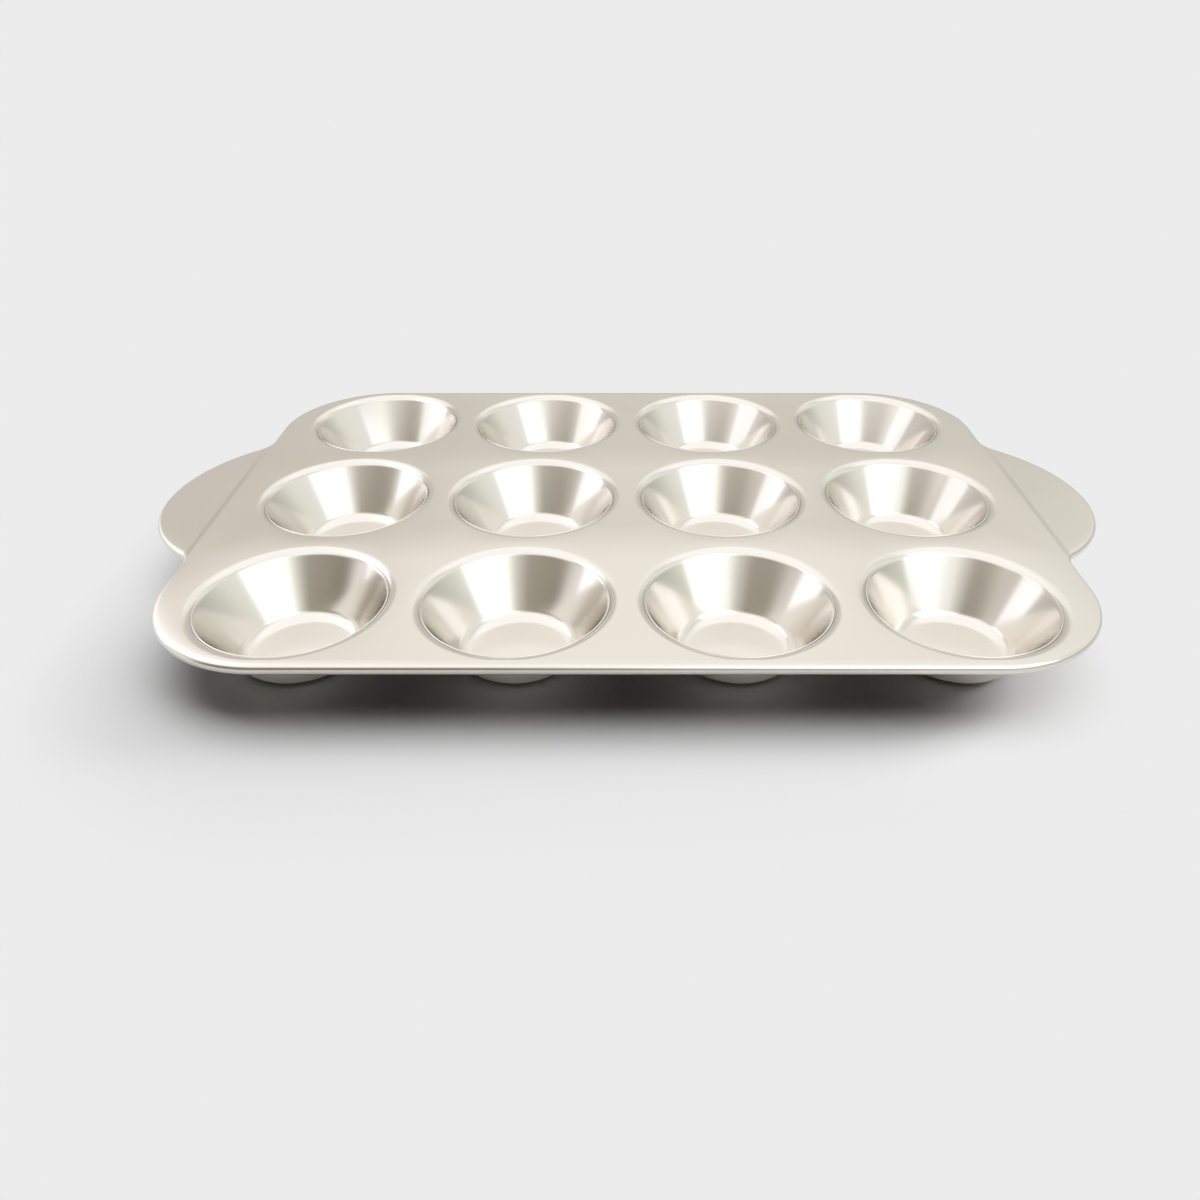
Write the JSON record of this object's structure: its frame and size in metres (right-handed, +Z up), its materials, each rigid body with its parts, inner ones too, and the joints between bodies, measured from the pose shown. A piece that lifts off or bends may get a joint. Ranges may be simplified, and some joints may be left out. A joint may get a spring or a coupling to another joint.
{
  "type": "cheese bread baking pan",
  "caption": "Shallow metal baking pan: round tapered cups in rows in a flat deck with rounded corners, a curled wired rim and a handle wing on each short side.",
  "frame": {"origin": "under the middle of the pan, on the plane that the undersides of the cup floors stand on", "axes": "+X along the rows of cups towards the right-hand handle wing, +Y across the rows towards the back, +Z up"},
  "size_m": [0.3936, 0.2418, 0.0238],
  "materials": {
    "deck_coating": "satin champagne non-stick coating on pressed steel",
    "cup_coating": "smoother satin champagne non-stick coating on drawn steel",
    "wire_steel": "drawn steel wire"
  },
  "bodies": {
    "root": {"deck_plate": "deck_coating", "cup_front_1": "cup_coating", "cup_front_2": "cup_coating", "cup_front_3": "cup_coating", "cup_front_4": "cup_coating", "cup_middle_1": "cup_coating", "cup_middle_2": "cup_coating", "cup_middle_3": "cup_coating", "cup_middle_4": "cup_coating", "cup_back_1": "cup_coating", "cup_back_2": "cup_coating", "cup_back_3": "cup_coating", "cup_back_4": "cup_coating", "rim_wire": "wire_steel"}
  },
  "joints": []
}
